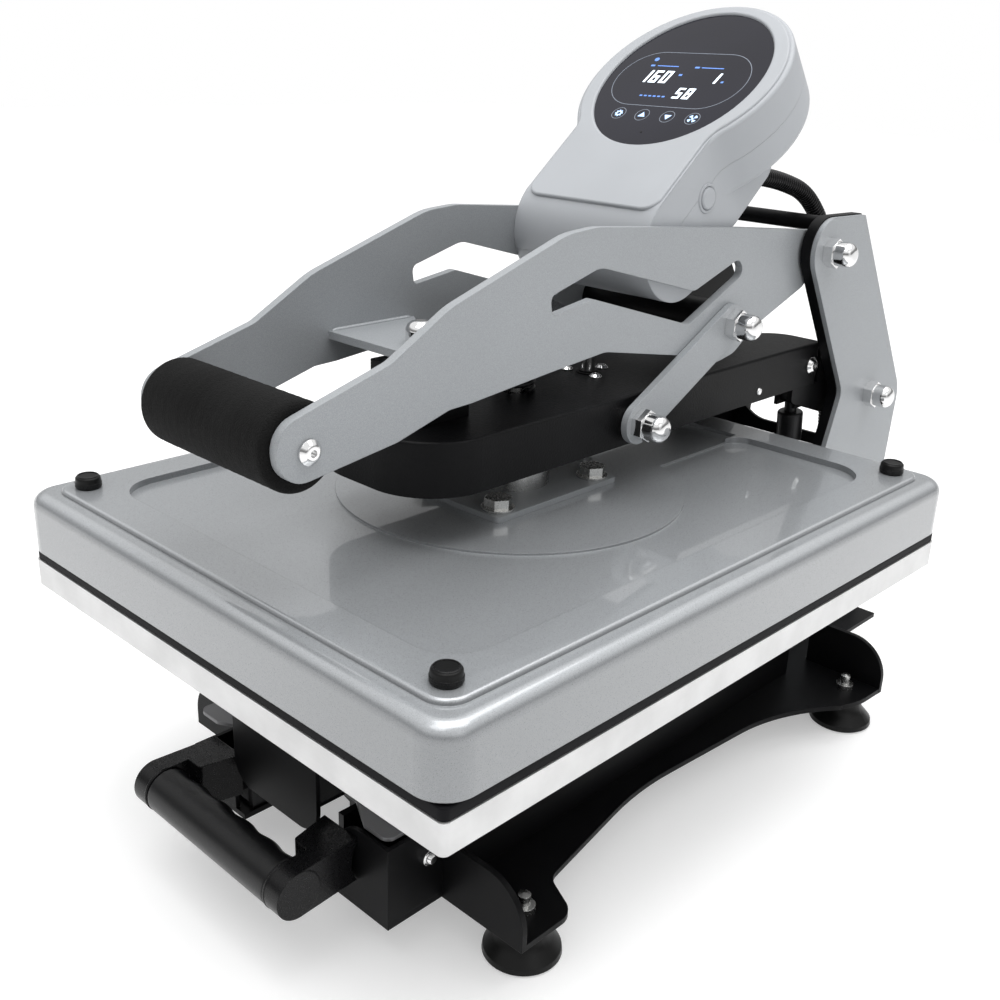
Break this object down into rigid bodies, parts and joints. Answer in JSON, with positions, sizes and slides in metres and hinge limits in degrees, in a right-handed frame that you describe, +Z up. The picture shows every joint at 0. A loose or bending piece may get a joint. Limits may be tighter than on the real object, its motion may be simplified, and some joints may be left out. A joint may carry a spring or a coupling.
{
  "type": "clamshell heat press",
  "caption": "Drawer-type clamshell heat press with toggle lever, heated upper platen, sliding lower platen, control console and electromagnet hold.",
  "frame": {"origin": "on the floor under the middle of the press's bounding box", "axes": "+Z up, -Y towards the operator, +X to the operator's right"},
  "size_m": [0.4056, 0.6759, 0.5436],
  "materials": {
    "silver_paint": "metallic",
    "cover_paint": "gloss metallic",
    "black_coat": "satin powder coat",
    "black_cast": "hammered texture",
    "carriage_paint": "satin",
    "console_plastic": "satin",
    "display_glass": "gloss",
    "board_green": "satin",
    "black_plastic": "satin",
    "foam_rubber": "matt",
    "black_rubber": "matt",
    "silicone": "matt",
    "platen_aluminium": "milled",
    "bright_steel": "zinc plated",
    "chrome_plate": "polished",
    "black_steel": "black oxide",
    "insulation": "fibrous"
  },
  "bodies": {
    "base": {"base_plate": "black_coat", "rubber_feet": "black_rubber", "foot_bolts": "bright_steel", "drawer_housing_left": "black_coat", "drawer_housing_right": "black_coat", "drawer_rails": "bright_steel", "post_frame_left": "black_coat", "post_frame_right": "black_coat", "post_cover_left": "silver_paint", "post_cover_right": "silver_paint", "post_tie_bar": "black_coat", "rear_crossplate": "black_coat", "terminal_box": "black_coat", "power_inlet": "black_plastic", "pivot_bolts": "bright_steel", "pivot_nuts": "chrome_plate", "control_hose": "black_plastic"},
    "switch_rocker": {"power_switch": "black_plastic"},
    "lever": {"lever_plate_left": "silver_paint", "lever_plate_right": "silver_paint", "grip_foam": "foam_rubber", "grip_tube": "bright_steel", "grip_screws": "chrome_plate", "lever_cross_plate": "silver_paint", "armature": "chrome_plate", "lever_cross_tube": "black_coat", "console_front": "console_plastic", "console_back": "console_plastic", "console_glass": "display_glass", "console_board": "board_green"},
    "side_button": {"console_button": "console_plastic"},
    "links": {"link_left": "silver_paint", "link_right": "silver_paint", "link_fasteners": "chrome_plate"},
    "arm": {"pressing_arm": "black_cast", "arm_bracket_left": "black_coat", "arm_bracket_right": "black_coat", "arm_screws": "chrome_plate", "electromagnet": "black_coat", "pressure_screw": "bright_steel", "pressure_spring": "black_steel", "guide_rod": "chrome_plate", "guide_flange": "black_coat", "upper_cover": "cover_paint", "heating_plate": "platen_aluminium", "insulation_board": "insulation", "corner_caps": "black_rubber", "mounting_plate": "silver_paint", "platen_bolts": "bright_steel"},
    "knob": {"pressure_knob": "black_plastic"},
    "drawer": {"lower_platen": "platen_aluminium", "silicone_pad": "silicone", "carriage_plate": "carriage_paint", "drawer_runners": "bright_steel", "platen_columns": "bright_steel", "drawer_front_panel": "black_coat", "drawer_pull_arms": "black_plastic", "drawer_pull_grip": "black_plastic"},
    "gas_rods": {"gas_spring_rods": "chrome_plate"},
    "gas_bodies": {"gas_spring_bodies": "black_steel"}
  },
  "joints": [
    {"name": "lever_lift", "type": "hinge", "parent": "base", "child": "lever", "pos_m": [0, 0.1807, 0.3745], "axis": [-1, 0, 0], "range_deg": [0, 78], "deforming": ["control_hose"]},
    {"name": "arm_lift", "type": "hinge", "parent": "base", "child": "arm", "pos_m": [0, 0.2806, 0.2466], "axis": [-1, 0, 0], "range_deg": [0, 26.72]},
    {"name": "link_swing", "type": "hinge", "parent": "lever", "child": "links", "pos_m": [0, 0.0721, 0.3328], "axis": [1, 0, 0], "range_deg": [0, 80.33]},
    {"name": "gas_spring_tilt", "type": "hinge", "parent": "base", "child": "gas_rods", "pos_m": [0, 0.2335, 0.048], "axis": [-1, 0, 0], "range_deg": [0, 3]},
    {"name": "gas_spring_extend", "type": "slide", "parent": "gas_rods", "child": "gas_bodies", "axis": [0, -0.1083, 0.9941], "range_m": [0, 0.02988]},
    {"name": "drawer_slide", "type": "slide", "parent": "base", "child": "drawer", "axis": [0, -1, 0], "range_m": [0, 0.28]},
    {"name": "pressure_knob_turn", "type": "hinge", "parent": "arm", "child": "knob", "pos_m": [0, -0.0785, 0.332], "axis": [0, 0, 1], "range_deg": [0, 720]},
    {"name": "side_button_press", "type": "slide", "parent": "lever", "child": "side_button", "axis": [-1, 0, 0], "range_m": [0, 0.0015], "stiffness_N_per_m": 400},
    {"name": "power_switch_rock", "type": "hinge", "parent": "base", "child": "switch_rocker", "pos_m": [0.024, 0.3315, 0.08], "axis": [1, 0, 0], "range_deg": [0, 12]}
  ],
  "couplings": [
    {"joint": "arm_lift", "follows": "lever_lift", "ratio": 0.34252},
    {"joint": "link_swing", "follows": "lever_lift", "ratio": 1.0299},
    {"joint": "gas_spring_tilt", "follows": "lever_lift", "ratio": 0.038397},
    {"joint": "gas_spring_extend", "follows": "lever_lift", "m_per_rad": 0.021946}
  ]
}
